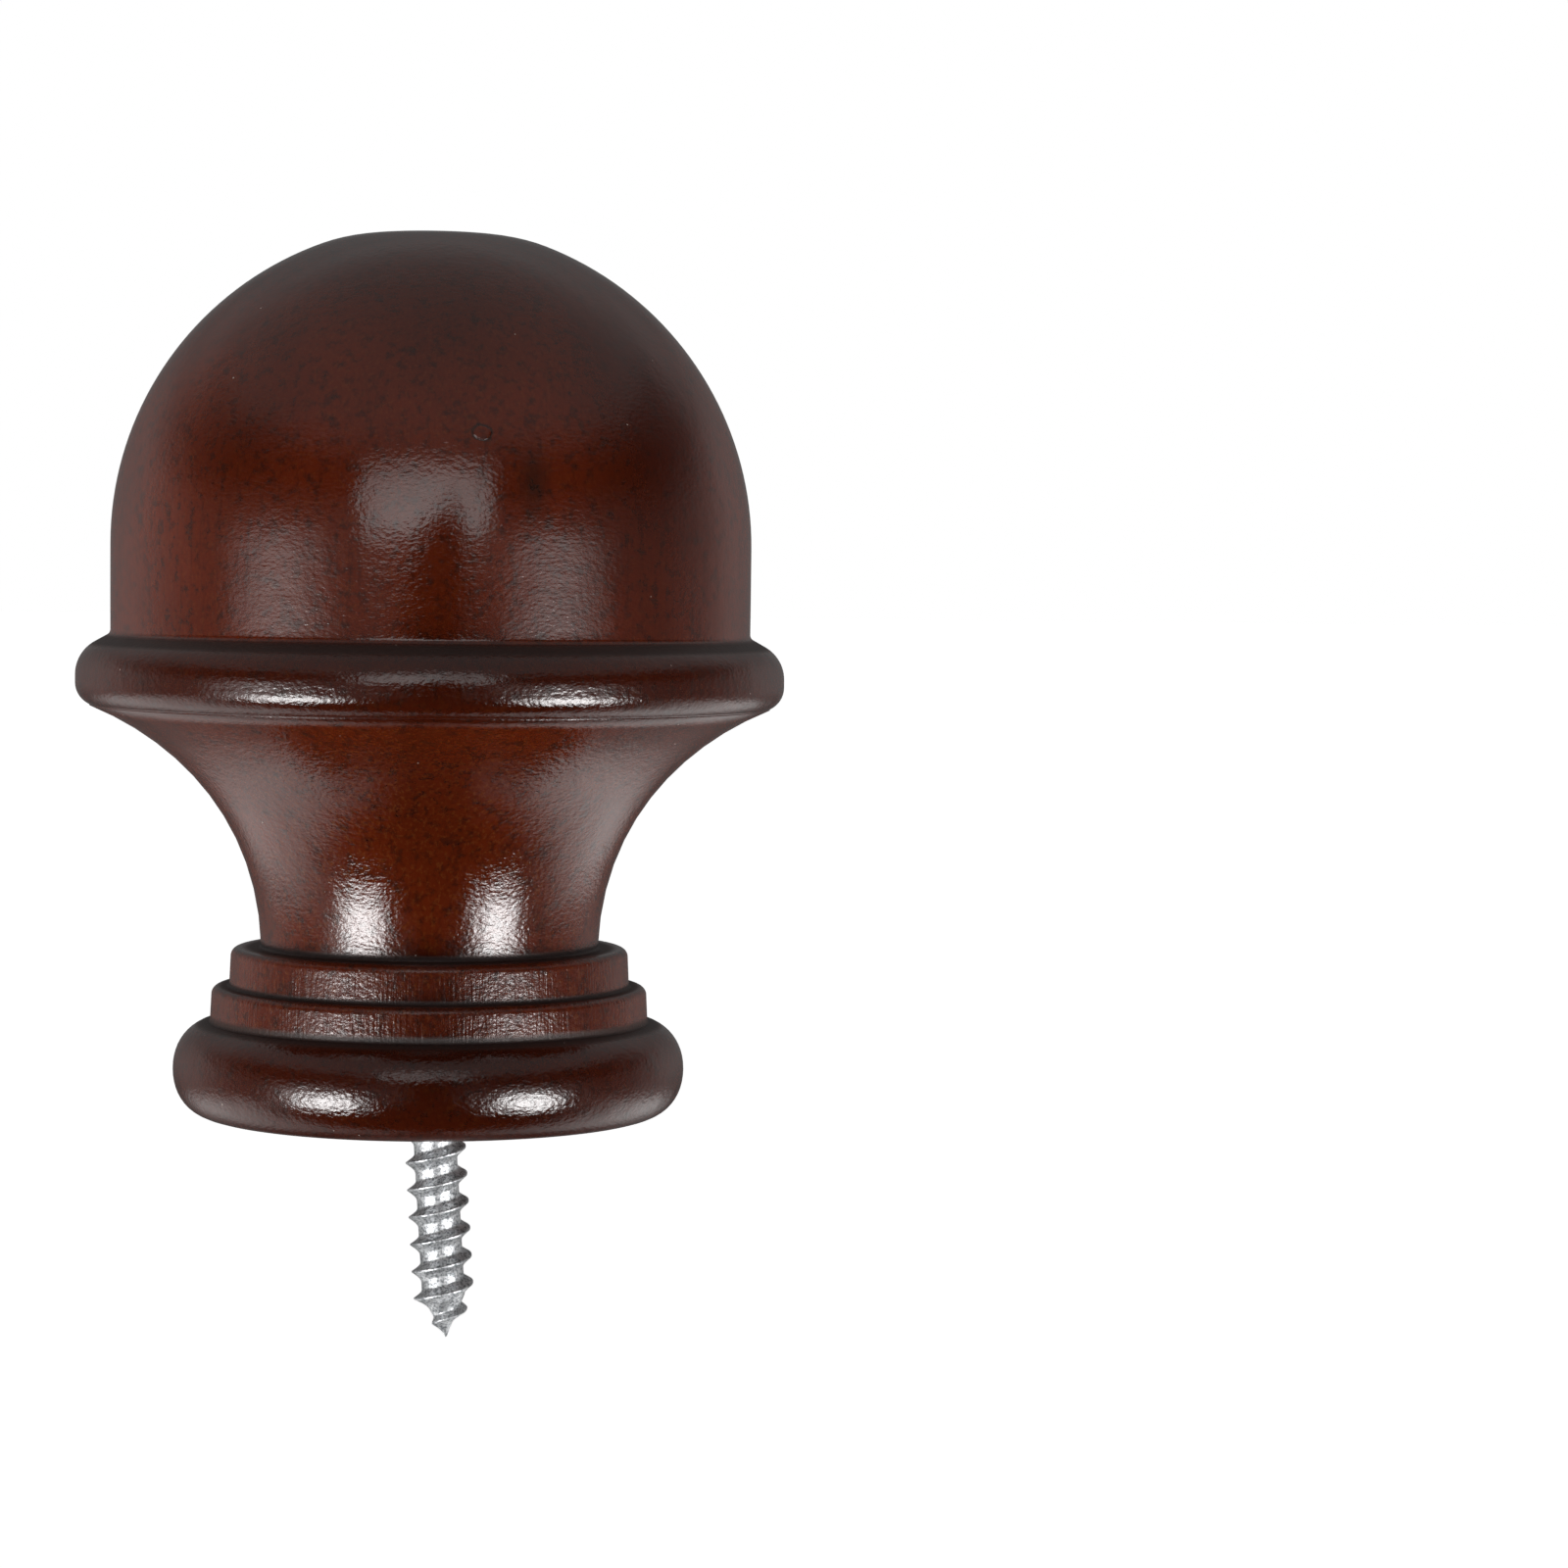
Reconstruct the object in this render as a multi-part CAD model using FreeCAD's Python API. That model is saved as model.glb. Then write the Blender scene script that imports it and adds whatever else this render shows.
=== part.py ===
import FreeCAD, Part
import math
import os

V = FreeCAD.Vector

# Diameters of the turned wooden body, in millimetres
ball_d = 62.3
ring_d = 69.0
neck_d = 33.0
upper_step_d = 39.1
lower_step_d = 42.8
foot_d = 50.0
seat_d = 43.0
crown_flat_d = 22.0

# Heights of its turned elements, each from the one below it, with the seat face at zero
foot_h = 9.1
foot_belly_h = 5.3
lower_step_h = 3.45
upper_step_h = 3.75
neck_to_ring_h = 26.6
ring_to_ball_h = 12.75
crown_flattening = 0.8

# Radii of its small turned forms
ring_bead_r = 3.65
lower_step_round = 0.8
upper_step_round = 0.8

# Slopes of its curves, in degrees
neck_lean = 2.0
ring_under_slope = 22.6
ring_top_slope = 29.3

# Fullness of its curves: the handle's length as a share of the span
cove_fullness_low = 0.50
cove_fullness_high = 0.59
crown_fullness = 0.35

# Double-ended wood screw
screw_major_d = 6.0
screw_core_d = 4.2
screw_shank_d = 5.0
screw_pitch = 2.7
screw_exposed = 22.4
screw_buried = 27.6
screw_point = 4.6
shank_length = 6.5
shank_taper = 0.5
shank_in_seat = 1.2
ridge_base_width = 1.6
ridge_crest_width = 0.22
ridge_rise = 2.3
ridge_start = 0.5
ridge_end_share = 0.02
ridge_sink = 0.15
crest_below_seat = 3.52

# How the screw stands in the wood
screw_lean = 3.5
screw_offset = 0.45
bore_clearance = 0.25
bore_overrun = 0.6
mouth_chamfer = 0.5
pilot_d = 3.6
pilot_overrun = 2.0
drill_point_angle = 118.0
cut_through = 1.0

# Points along one turn of the thread's edges
points_per_turn = 8

# Heights worked out from the sizes above
lower_step_top = foot_h + lower_step_h
upper_step_top = lower_step_top + upper_step_h
ring_centre = upper_step_top + neck_to_ring_h
ball_centre = ring_centre + ring_to_ball_h
crown = ball_centre + ball_d / 2 - crown_flattening

# Distances along the screw's own axis, from the seat face
shank_low = shank_in_seat
shank_high = shank_low + shank_length
bore_r = screw_major_d / 2 + bore_clearance
bore_end = shank_high + bore_overrun
pilot_end = screw_buried + pilot_overrun


def point(diameter, height):
    """A point of the lathe profile, in the XZ plane."""
    return V(diameter / 2, 0, height)


def heading(degrees):
    """A unit direction in the XZ plane, counted from +X towards +Z."""
    turn = math.radians(degrees)
    return V(math.cos(turn), 0, math.sin(turn))


def straight(start, end):
    """A straight edge."""
    return Part.LineSegment(start, end).toShape()


def arc(start, middle, end):
    """A round edge through three points."""
    return Part.Arc(start, middle, end).toShape()


def pulled(start, start_handle, end_handle, end):
    """A smooth edge between two points, pulled along a handle at each."""
    curve = Part.BezierCurve()
    curve.setPoles([start, start + start_handle, end + end_handle, end])
    return curve.toShape()


def step_edges(diameter, bottom, top, rounding, inner_diameter):
    """One step: its side, its rounded edge, and its top in to the next diameter."""
    centre = point(diameter, top) - V(rounding, 0, rounding)
    side_end = centre + heading(0) * rounding
    top_start = centre + heading(90) * rounding
    return [
        straight(point(diameter, bottom), side_end),
        arc(side_end, centre + heading(45) * rounding, top_start),
        straight(top_start, point(inner_diameter, top)),
    ]


def foot_edges():
    """The seat face, the rounded foot and the two steps over it."""
    seat_edge = point(seat_d, 0)
    belly = point(foot_d, foot_belly_h)
    edges = [straight(V(0, 0, 0), seat_edge), arc(seat_edge, belly, point(lower_step_d, foot_h))]
    edges += step_edges(lower_step_d, foot_h, lower_step_top, lower_step_round, upper_step_d)
    edges += step_edges(upper_step_d, lower_step_top, upper_step_top, upper_step_round, neck_d)
    return edges


def cove_and_ring_edges():
    """The long hollow from the neck, the bead of the ring tangent to it, and the ring's sloping top."""
    neck = point(neck_d, upper_step_top)
    centre = point(ring_d, ring_centre) - V(ring_bead_r, 0, 0)
    under = centre + heading(ring_under_slope - 90) * ring_bead_r
    outermost = centre + heading(0) * ring_bead_r
    shoulder = centre + heading(90 - ring_top_slope) * ring_bead_r
    top_width = shoulder.x - ball_d / 2
    groove = point(ball_d, shoulder.z + top_width * math.tan(math.radians(ring_top_slope)))
    leave = heading(90 - neck_lean) * (cove_fullness_low * (under.z - neck.z))
    arrive = heading(ring_under_slope) * (cove_fullness_high * (under.x - neck.x))
    edges = [pulled(neck, leave, -arrive, under), arc(under, outermost, shoulder)]
    edges += [straight(shoulder, groove), straight(groove, point(ball_d, ball_centre))]
    return edges


def dome_edges():
    """The ball's dome and its slightly flattened crown."""
    centre = V(0, 0, ball_centre)
    flat_angle = math.degrees(math.acos(crown_flat_d / ball_d))
    halfway = centre + heading(flat_angle / 2) * (ball_d / 2)
    flat_edge = centre + heading(flat_angle) * (ball_d / 2)
    handle = crown_fullness * crown_flat_d / 2
    top = V(0, 0, crown)
    return [
        arc(point(ball_d, ball_centre), halfway, flat_edge),
        pulled(flat_edge, heading(flat_angle + 90) * handle, V(handle, 0, 0), top),
    ]


def revolved(edges):
    """A closed outline in the XZ plane, turned once round the Z axis."""
    face = Part.Face(Part.Wire(edges))
    return face.revolve(V(0, 0, 0), V(0, 0, 1), 360)


def turned_outline(outline):
    """A solid of revolution from a closed outline of (radius, height) pairs."""
    places = [V(radius, 0, height) for radius, height in outline]
    return revolved([straight(a, b) for a, b in zip(places, places[1:] + places[:1])])


def in_wood(shape):
    """Leans a shape made on the Z axis over to the screw's own axis."""
    shape.rotate(V(0, 0, 0), V(0, 1, 0), -screw_lean)
    shape.translate(V(screw_offset, 0, 0))
    return shape


def core_radius(from_tip):
    """Radius of the screw's core, which comes to a point at its tip."""
    share = min(max(from_tip / screw_point, 0), 1)
    return share * screw_core_d / 2


def ridge_section(from_tip, length):
    """The thread's section as (radius, distance from the tip): root, crest, crest, root."""
    rise = min(from_tip / ridge_rise, 1, (length - from_tip) / ridge_rise)
    share = max(rise, ridge_end_share)
    root = share * ridge_base_width / 2
    crest = share * ridge_crest_width / 2
    crest_radius = core_radius(from_tip) + share * (screw_major_d - screw_core_d) / 2
    low, high = from_tip - root, from_tip + root
    return [
        (core_radius(low) * (1 - ridge_sink), low),
        (crest_radius, from_tip - crest),
        (crest_radius, from_tip + crest),
        (core_radius(high) * (1 - ridge_sink), high),
    ]


def thread_rails(tip, sense, length, count):
    """The four long edges of one right-hand thread ridge, from a tip to the plain shank."""
    rows = []
    for i in range(count + 1):
        from_tip = ridge_start + (length - ridge_start) * i / count
        turn = 2 * math.pi * (tip + sense * from_tip + crest_below_seat) / screw_pitch
        section = ridge_section(from_tip, length)
        rows.append([V(r * math.cos(turn), r * math.sin(turn), tip + sense * d) for r, d in section])
    rails = []
    for places in zip(*rows):
        rail = Part.BSplineCurve()
        rail.interpolate(Points=list(places), Parameters=[i / count for i in range(count + 1)])
        rails.append(rail)
    return rails


def closed_solid(faces):
    """A solid sewn from faces, right side out."""
    shell = Part.Shell(faces)
    shell.sewShape()
    solid = Part.Solid(shell)
    if solid.Volume < 0:
        solid.reverse()
    return solid


def thread_turns(tip, shank):
    """The thread ridge between a tip and the plain shank, as one solid for each turn."""
    sense = math.copysign(1, shank - tip)
    length = abs(shank - tip)
    count = int((length - ridge_start) / screw_pitch * points_per_turn)
    rails = thread_rails(tip, sense, length, count)
    stops = list(range(0, count - points_per_turn // 2, points_per_turn)) + [count]
    turns = []
    for first, last in zip(stops, stops[1:]):
        edges = [rail.toShape(first / count, last / count) for rail in rails]
        faces = [Part.makeRuledSurface(a, b) for a, b in zip(edges, edges[1:] + edges[:1])]
        for stop in (first, last):
            corners = [rail.value(stop / count) for rail in rails]
            faces.append(Part.Face(Part.makePolygon(corners + corners[:1])))
        turns.append(closed_solid(faces))
    return turns


def dowel_screw():
    """The steel screw: a point and a thread at each end, and a plain shank between them."""
    core_r = screw_core_d / 2
    shank_r = screw_shank_d / 2
    core = turned_outline([
        (0, -screw_exposed),
        (core_r, screw_point - screw_exposed),
        (core_r, shank_low - shank_taper),
        (shank_r, shank_low),
        (shank_r, shank_high),
        (core_r, shank_high + shank_taper),
        (core_r, screw_buried - screw_point),
        (0, screw_buried),
    ])
    turns = thread_turns(-screw_exposed, shank_low) + thread_turns(screw_buried, shank_high)
    return in_wood(core.fuse(turns))


def drilling():
    """What the drills take out: a chamfered clearance bore round the shank, then the pilot hole."""
    pilot_r = pilot_d / 2
    drill_slope = math.tan(math.radians(drill_point_angle / 2))
    return in_wood(turned_outline([
        (0, -cut_through),
        (bore_r + mouth_chamfer + cut_through, -cut_through),
        (bore_r, mouth_chamfer),
        (bore_r, bore_end),
        (pilot_r, bore_end + (bore_r - pilot_r) / drill_slope),
        (pilot_r, pilot_end),
        (0, pilot_end + pilot_r / drill_slope),
    ]))


def finial_body(screw):
    """The body, turned in one piece and drilled, with the screw's own thread cut in the pilot hole."""
    edges = foot_edges() + cove_and_ring_edges() + dome_edges()
    edges.append(straight(V(0, 0, crown), V(0, 0, 0)))
    return revolved(edges).cut(drilling()).cut(screw)


def main():
    os.makedirs("parts", exist_ok=True)
    screw = dowel_screw()
    pieces = {"finial_body": finial_body(screw), "dowel_screw": screw}
    for name, shape in pieces.items():
        print(name, shape.isValid(), len(shape.Solids), round(shape.Volume, 1))
        shape.exportStep("parts/" + name + ".step")


main()
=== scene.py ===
import math

import bmesh
import bpy
from bpy.props import FloatProperty, FloatVectorProperty, IntProperty, PointerProperty
from mathutils import Matrix, Vector


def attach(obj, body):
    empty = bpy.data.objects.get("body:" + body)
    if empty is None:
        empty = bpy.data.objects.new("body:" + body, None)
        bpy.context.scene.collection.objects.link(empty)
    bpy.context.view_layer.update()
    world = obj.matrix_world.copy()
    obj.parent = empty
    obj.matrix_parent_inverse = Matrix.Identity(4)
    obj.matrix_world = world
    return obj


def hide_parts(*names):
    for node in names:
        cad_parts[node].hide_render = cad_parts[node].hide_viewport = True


bl_info = {
    "name": "Turned Curtain Pole Finial",
    "version": (1, 0, 0),
    "blender": (4, 5, 0),
    "location": "3D View > Sidebar > Finial",
    "description": "Turns a lacquered finial, makes its wood screw and sets a plain studio",
    "category": "Add Mesh",
}

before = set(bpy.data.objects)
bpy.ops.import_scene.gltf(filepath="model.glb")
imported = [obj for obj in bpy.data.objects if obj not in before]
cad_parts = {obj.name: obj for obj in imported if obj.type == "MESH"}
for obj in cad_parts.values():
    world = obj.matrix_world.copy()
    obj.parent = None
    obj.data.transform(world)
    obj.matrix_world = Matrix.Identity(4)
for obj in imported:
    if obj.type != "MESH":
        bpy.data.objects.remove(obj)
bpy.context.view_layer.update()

MM = 0.001
FULL_TURN = math.radians(360)
QUARTER_TURN = math.radians(90)
MERGE_PROFILE = 0.01 * MM
MERGE_THREAD = 0.002 * MM
MERGE_FINE = 0.001 * MM
PIECE_BODY = "root"


def length(name, millimetres, description):
    """A length property, given in millimetres and kept in metres."""
    return FloatProperty(
        name=name, description=description, default=millimetres * MM, unit="LENGTH", precision=5)


def angle(name, degrees, description):
    """An angle property, given in degrees and kept in radians."""
    return FloatProperty(
        name=name, description=description, default=math.radians(degrees), subtype="ANGLE")


def spot(name, millimetres, description):
    """A place, given in millimetres and kept in metres."""
    place = [part * MM for part in millimetres]
    return FloatVectorProperty(
        name=name, description=description, default=place, size=3, subtype="TRANSLATION")


def share(name, value, description):
    """A share, from nothing to all."""
    return FloatProperty(
        name=name, description=description, default=value, min=0.0, max=1.0, subtype="FACTOR")


def level(name, value, description):
    """The brightness of a lamp or of a part of the surroundings."""
    return FloatProperty(name=name, description=description, default=value, min=0.0, max=100.0)


def colour(name, value, description):
    """A linear colour."""
    return FloatVectorProperty(
        name=name, description=description, default=value, size=3, subtype="COLOR", min=0, max=1)


def count(name, value, description, least):
    """A whole number of divisions."""
    return IntProperty(name=name, description=description, default=value, min=least)


class FinialTurning(bpy.types.PropertyGroup):
    """Sizes of the turned body."""

    seat_radius: length("Seat radius", 21.5, "Radius of the flat seat face")
    foot_radius: length("Foot radius", 25.0, "Radius of the rounded foot at its widest")
    foot_middle: length("Foot middle", 4.5, "Height of the foot's widest line")
    foot_top: length("Foot top", 9.1, "Height at which the lower step stands on the foot")
    foot_under: share("Foot underside", 0.56, "Pull of the foot's curve off the seat face")
    foot_lift: share("Foot lift", 0.03, "Rise of that pull, against the foot's middle height")
    foot_below: share("Foot lower side", 0.58, "Pull of the foot's curve below its widest line")
    foot_above: share("Foot upper side", 0.56, "Pull of the foot's curve above its widest line")
    foot_over: share("Foot top side", 0.54, "Pull of the foot's curve on to its top")
    foot_dip: share("Foot dip", 0.08, "Fall of that pull, against the foot's upper height")
    lower_radius: length("Lower step radius", 21.4, "Radius of the lower step")
    lower_top: length("Lower step top", 12.55, "Height of the lower step's top")
    upper_radius: length("Upper step radius", 19.55, "Radius of the upper step")
    upper_top: length("Upper step top", 16.3, "Height of the upper step's top")
    step_lean: angle("Step lean", 1.9, "How far the steps' faces lean in")
    step_round: length("Step rounding", 0.8, "Radius of the steps' upper edges")
    groove_round: length("Groove rounding", 0.28, "Radius left by the tool in the grooves")
    neck_radius: length("Neck radius", 16.5, "Radius where the hollow starts")
    neck_lean: angle("Neck lean", 2.0, "How far the hollow leans out where it starts")
    cove_low: share("Lower fullness", 0.50, "Pull of the hollow's lower end")
    cove_high: share("Upper fullness", 0.59, "Pull of the hollow's upper end")
    ring_radius: length("Ring radius", 34.5, "Radius of the ring at its widest")
    ring_middle: length("Ring middle", 42.9, "Height of the ring's widest line")
    ring_bead: length("Ring bead", 3.65, "Radius of the ring's rounded upper edge")
    ring_top: angle("Ring top", 29.3, "Slope of the ring's top")
    belly_middle: length("Belly middle", 42.15, "Height where the ring starts to round under")
    belly_bead: length("Belly bead", 2.295, "Radius of the ring's rounded lower edge")
    belly_end: angle("Belly end", 23.8, "How far from straight down the lower edge stops")
    ring_under: angle("Ring underside", 22.6, "Slope at which the ring meets the hollow")
    quirk: length("Quirk", 0.10, "Height of the small square step under the ring")
    ball_radius: length("Ball radius", 31.15, "Radius of the ball")
    ball_middle: length("Ball middle", 55.65, "Height where the ball starts to round over")
    ball_waist: length("Ball waist", 0.02, "How much narrower the ball is at the ring")
    ball_groove: length("Ball groove", 0.6, "Radius left by the tool between ring and ball")
    crown_flat: length("Crown flat", 11.0, "Radius inside which the crown is flattened")
    crown_pull: share("Crown fullness", 0.35, "Pull of the crown's curve")
    crown_top: length("Crown height", 86.0, "Height of the crown")
    bore_radius: length("Bore radius", 3.25, "Radius of the hole round the screw's shank")
    bore_chamfer: length("Bore chamfer", 0.5, "Chamfer at the hole's mouth")
    bore_depth: length("Bore depth", 8.3, "Depth of the hole round the shank")
    pilot_radius: length("Thread hole radius", 3.06, "Radius of the hole cut by the thread")
    pilot_depth: length("Thread hole depth", 28.6, "Depth of the hole cut by the thread")
    chip: spot("Chip", (4.4, -29.0, 66.1), "Place of a small chip in the lacquer")
    smudge: spot("Smudge", (9.2, -29.1, 61.7), "Place of a dark smudge")
    # Middles of two bands of painted shade on the ball
    right_shade_band: spot("Right band", (21.0, -20.5, 66.0), "Middle of a broad darker band")
    left_shade_band: spot("Left band", (-17.0, -24.5, 66.5), "Middle of a smaller darker band")
    run_divisions: count("Run divisions", 12, "Divisions in each run of the profile", 2)
    segments: count("Segments", 192, "Divisions round the body", 24)


class FinialScrew(bpy.types.PropertyGroup):
    """Sizes of the wood screw."""

    crest_radius: length("Crest radius", 3.0, "Radius over the thread's crests")
    core_radius: length("Core radius", 2.1, "Radius of the core between the crests")
    shank_radius: length("Shank radius", 2.5, "Radius of the plain shank")
    pitch: length("Pitch", 2.7, "Advance of the thread in one turn")
    exposed: length("Exposed length", 22.4, "Length below the seat face")
    buried: length("Buried length", 27.6, "Length inside the wood")
    point: length("Point", 4.2, "Length of the cone point at each end")
    rise: length("Thread rise", 2.3, "Length over which the thread grows out of the core")
    shank_low: length("Shank start", 1.2, "Depth of the shank's lower end in the wood")
    shank_high: length("Shank end", 7.7, "Depth of the shank's upper end in the wood")
    shank_taper: length("Shank taper", 0.5, "Length of the cone between shank and core")
    flank_above: length("Upper flank", 0.80, "Height of the hollow flank over a crest")
    flank_below: length("Lower flank", 1.02, "Height of the hollow flank under a crest")
    flank_drop: share("Flank drop", 0.62, "How deep a flank's pull goes at the crest")
    flank_spread: share("Flank spread", 0.42, "How high a flank's pull goes at the crest")
    flank_root: share("Flank root", 0.30, "Pull of a flank where it meets the core")
    crest_width: length("Thread crest", 0.14, "Width of the thread's blunt crest")
    crest_below_seat: length("Crest below seat", 3.52, "Depth of a crest on the +X side")
    lean: angle("Lean", 3.5, "How far the screw leans from the body's axis")
    offset: length("Offset", 0.45, "Shift of the screw at the seat face")
    run_divisions: count("Run divisions", 7, "Divisions in each run of the thread's section", 2)
    divisions: count("Divisions", 72, "Divisions in one turn of the thread", 12)


class FinialFinish(bpy.types.PropertyGroup):
    """Colours, patterns and gloss of the lacquered wood and the plated steel."""

    stain: colour("Stain", (0.098, 0.0125, 0.0026), "Mahogany stain on plain grain")
    # Also the colour of the painted shade on the ball, the foot and the ring
    stain_deep_and_shade: colour("Deep stain", (0.024, 0.0038, 0.0016), "Stain where it lies thick")
    fleck: colour("Fleck", (0.135, 0.034, 0.0075), "Light flecks in the grain")
    # The groove colour also serves as the painted shade in the grooves
    groove: colour("Groove", (0.016, 0.0080, 0.0056), "Stain and dirt in the grooves")
    dust: colour("Dust", (0.40, 0.33, 0.29), "Specks of dust under the lacquer")
    cloud_size: length("Cloud size", 9.0, "Size of the broad clouds in the stain")
    streak_size: length("Streak size", 0.55, "Width of the upright streaks")
    fleck_size: length("Fleck size", 0.38, "Width of the light flecks")
    mottle_size: length("Mottle size", 1.0, "Size of the stain's mottle")
    pore_size: length("Pore size", 0.28, "Width of the wood's pores")
    dust_spacing: length("Dust spacing", 2.6, "Distance between specks of dust")
    clouds: share("Clouds", 0.35, "Strength of the broad clouds")
    streaks: share("Streaks", 0.55, "Strength of the upright streaks")
    mottle: share("Mottle", 0.50, "Strength of the mottle")
    flecks: share("Flecks", 0.60, "Strength of the flecks below the ball")
    flecks_ball: share("Flecks on the ball", 0.25, "Strength of the flecks on the ball")
    pores: share("Pores", 0.30, "Strength of the pores below the ball")
    pores_ball: share("Pores on the ball", 0.12, "Strength of the pores on the ball")
    # Strengths of the bands of painted shade, darker where less light falls
    front_shade: share("Front band", 0.22, "Strength of the upright band at the front")
    right_shade: share("Right band", 0.80, "Strength of the broad darker band")
    left_shade: share("Left band", 0.50, "Strength of the smaller darker band")
    crown_dark: share("Crown", 0.22, "How much deeper the crown is stained")
    # Foot and ring darker, partly stain and partly painted shade
    edge_stain_and_shade: share("Foot and ring", 0.65, "How much deeper the foot and the ring are stained")
    # Strength of the dirt and painted shade in the grooves
    groove_dirt_and_shade_strength: share("Grooves", 0.85, "Strength of the dirt in the grooves")
    lacquer_roughness: share("Lacquer roughness", 0.11, "Roughness of the lacquer")
    step_roughness: share("Step roughness", 0.05, "What the steps add to the roughness")
    groove_roughness: share("Groove roughness", 0.42, "What dirt adds to the roughness")
    peel: length("Orange peel", 0.055, "Height of the lacquer's fine waviness")
    peel_size: length("Orange peel size", 0.50, "Size of the fine waves")
    wide: length("Wide waviness", 0.065, "Height of the lacquer's wide waviness")
    wide_size: length("Wide wave size", 2.6, "Size of the wide waves")
    step_calm: share("Step calm", 0.15, "How much lower the waves are on the steps")
    ball_calm: share("Ball calm", 0.40, "How much lower the waves are on the ball")
    grain: length("Grain relief", 0.007, "Height of the upright grain under the lacquer")
    grain_steps: length("Step grain relief", 0.0385, "Height of the upright grain on the steps")
    step_relief: length("Step relief", 0.045, "Height of pores and flecks on the steps")
    dust_relief: length("Dust relief", 0.004, "Height of a speck of dust")
    chip_relief: length("Chip relief", 0.07, "Height of the chip's edge")
    chip_size: length("Chip size", 1.3, "Reach of the chip")
    smudge_size: length("Smudge size", 3.4, "Reach of the smudge")
    zinc: colour("Zinc", (0.72, 0.73, 0.74), "Bright zinc plating")
    zinc_dull: colour("Dull zinc", (0.17, 0.18, 0.19), "Dull grain in the plating")
    zinc_grain: length("Zinc grain size", 0.25, "Size of the plating's grain")
    zinc_patch: length("Zinc patch size", 1.1, "Size of the plating's dull patches")
    zinc_grain_relief: length("Zinc grain relief", 0.022, "Height of the grain")
    zinc_patch_relief: length("Zinc patch relief", 0.050, "Height of the patches")
    zinc_metal: share("Zinc metal", 0.92, "How metallic the plating is")
    zinc_roughness: share("Zinc roughness", 0.42, "Roughness of the bright plating")
    zinc_dullness: share("Zinc dullness", 0.12, "What dull plating adds to the roughness")


class FinialStudio(bpy.types.PropertyGroup):
    """Camera, lamps and surroundings."""

    lens: FloatProperty(
        name="Lens", description="Focal length", default=101.5, min=20, max=300, unit="CAMERA")
    distance: length("Distance", 434.0, "Distance of the camera in front of the axis")
    height: length("Height", 56.5, "Height of the camera above the seat face")
    pan: angle("Pan", 4.571, "Turn of the camera to the right")
    tilt: angle("Tilt", 3.145, "Tilt of the camera downwards")
    roll: angle("Roll", 0.645, "Roll of the camera about its own view")
    lamp_radiance: level("Lamp radiance", 23.0, "Brightness of the side lamps in gloss")
    lamp_azimuth: angle("Lamp azimuth", 45.6, "How far these lamps stand to the sides")
    lamp_drop: angle("Lamp drop", 20.5, "How far these lamps stand below the view")
    lamp_distance: length("Lamp distance", 520.0, "Distance of all side lamps")
    lamp_width: angle("Lamp width", 41.0, "Width of a lamp as the finial sees it")
    lamp_height: angle("Lamp height", 32.0, "Height of a lamp as the finial sees it")
    lamp_aim: length("Lamp aim", 30.0, "Height on the axis that the lamps point at")
    wash_radiance: level("Wash radiance", 18.8, "Brightness of the lamps for matt surfaces")
    wash_bias: share("Wash bias", 0.14, "How much stronger the left one of these is")
    wash_azimuth: angle("Wash azimuth", 70.0, "How far these lamps stand to the sides")
    wash_drop: angle("Wash drop", 20.0, "How far these lamps stand below the view")
    card_radiance: level("Card radiance", 0.95, "Brightness of the card in front of the ball")
    card_spread: angle("Card spread", 100.0, "Spread of the card's light")
    card_distance: length("Card distance", 130.0, "Distance of the card in front of the axis")
    card_shift: length("Card shift", 1.5, "How far the card stands to the right")
    card_middle: length("Card middle", 90.5, "Height of the card's middle")
    card_width: length("Card width", 118.0, "Width of the card")
    card_height: length("Card height", 63.0, "Height of the card")
    wall_level: level("Walls", 0.32, "Brightness of the tent's side walls in gloss")
    table_level: level("Table", 1.12, "Brightness of the table beside the finial in gloss")
    roof_level: level("Roof", 0.33, "Brightness of the tent's roof in gloss")
    glow_level: level("Glow", 2.45, "Brightness of the lamps' glow on the tent's front")
    glow_azimuth: angle("Glow azimuth", 49.5, "How far the glow lies to the sides")
    glow_reach: angle("Glow reach", 23.0, "Width of the glow to either side of its middle")
    veil_left: level("Left veil", 0.22, "Brightness of the front's left half in gloss")
    veil_right: level("Right veil", 0.14, "Brightness of the front's right half in gloss")
    fill: share("Fill", 0.55, "Strength of the tent on matt surfaces against gloss")
    floor_drop: length("Floor drop", 22.45, "Depth of the floor below the seat face")
    floor_grey: share("Floor grey", 0.85, "Shade of the floor itself")
    floor_lift: share("Floor lift", 0.92, "What brings the floor up to white for the camera")
    shade_radius: length("Shade radius", 54.0, "Radius of the dim patch under the finial")
    shade_depth: share("Shade depth", 0.97, "How dark the dim patch is")


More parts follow.
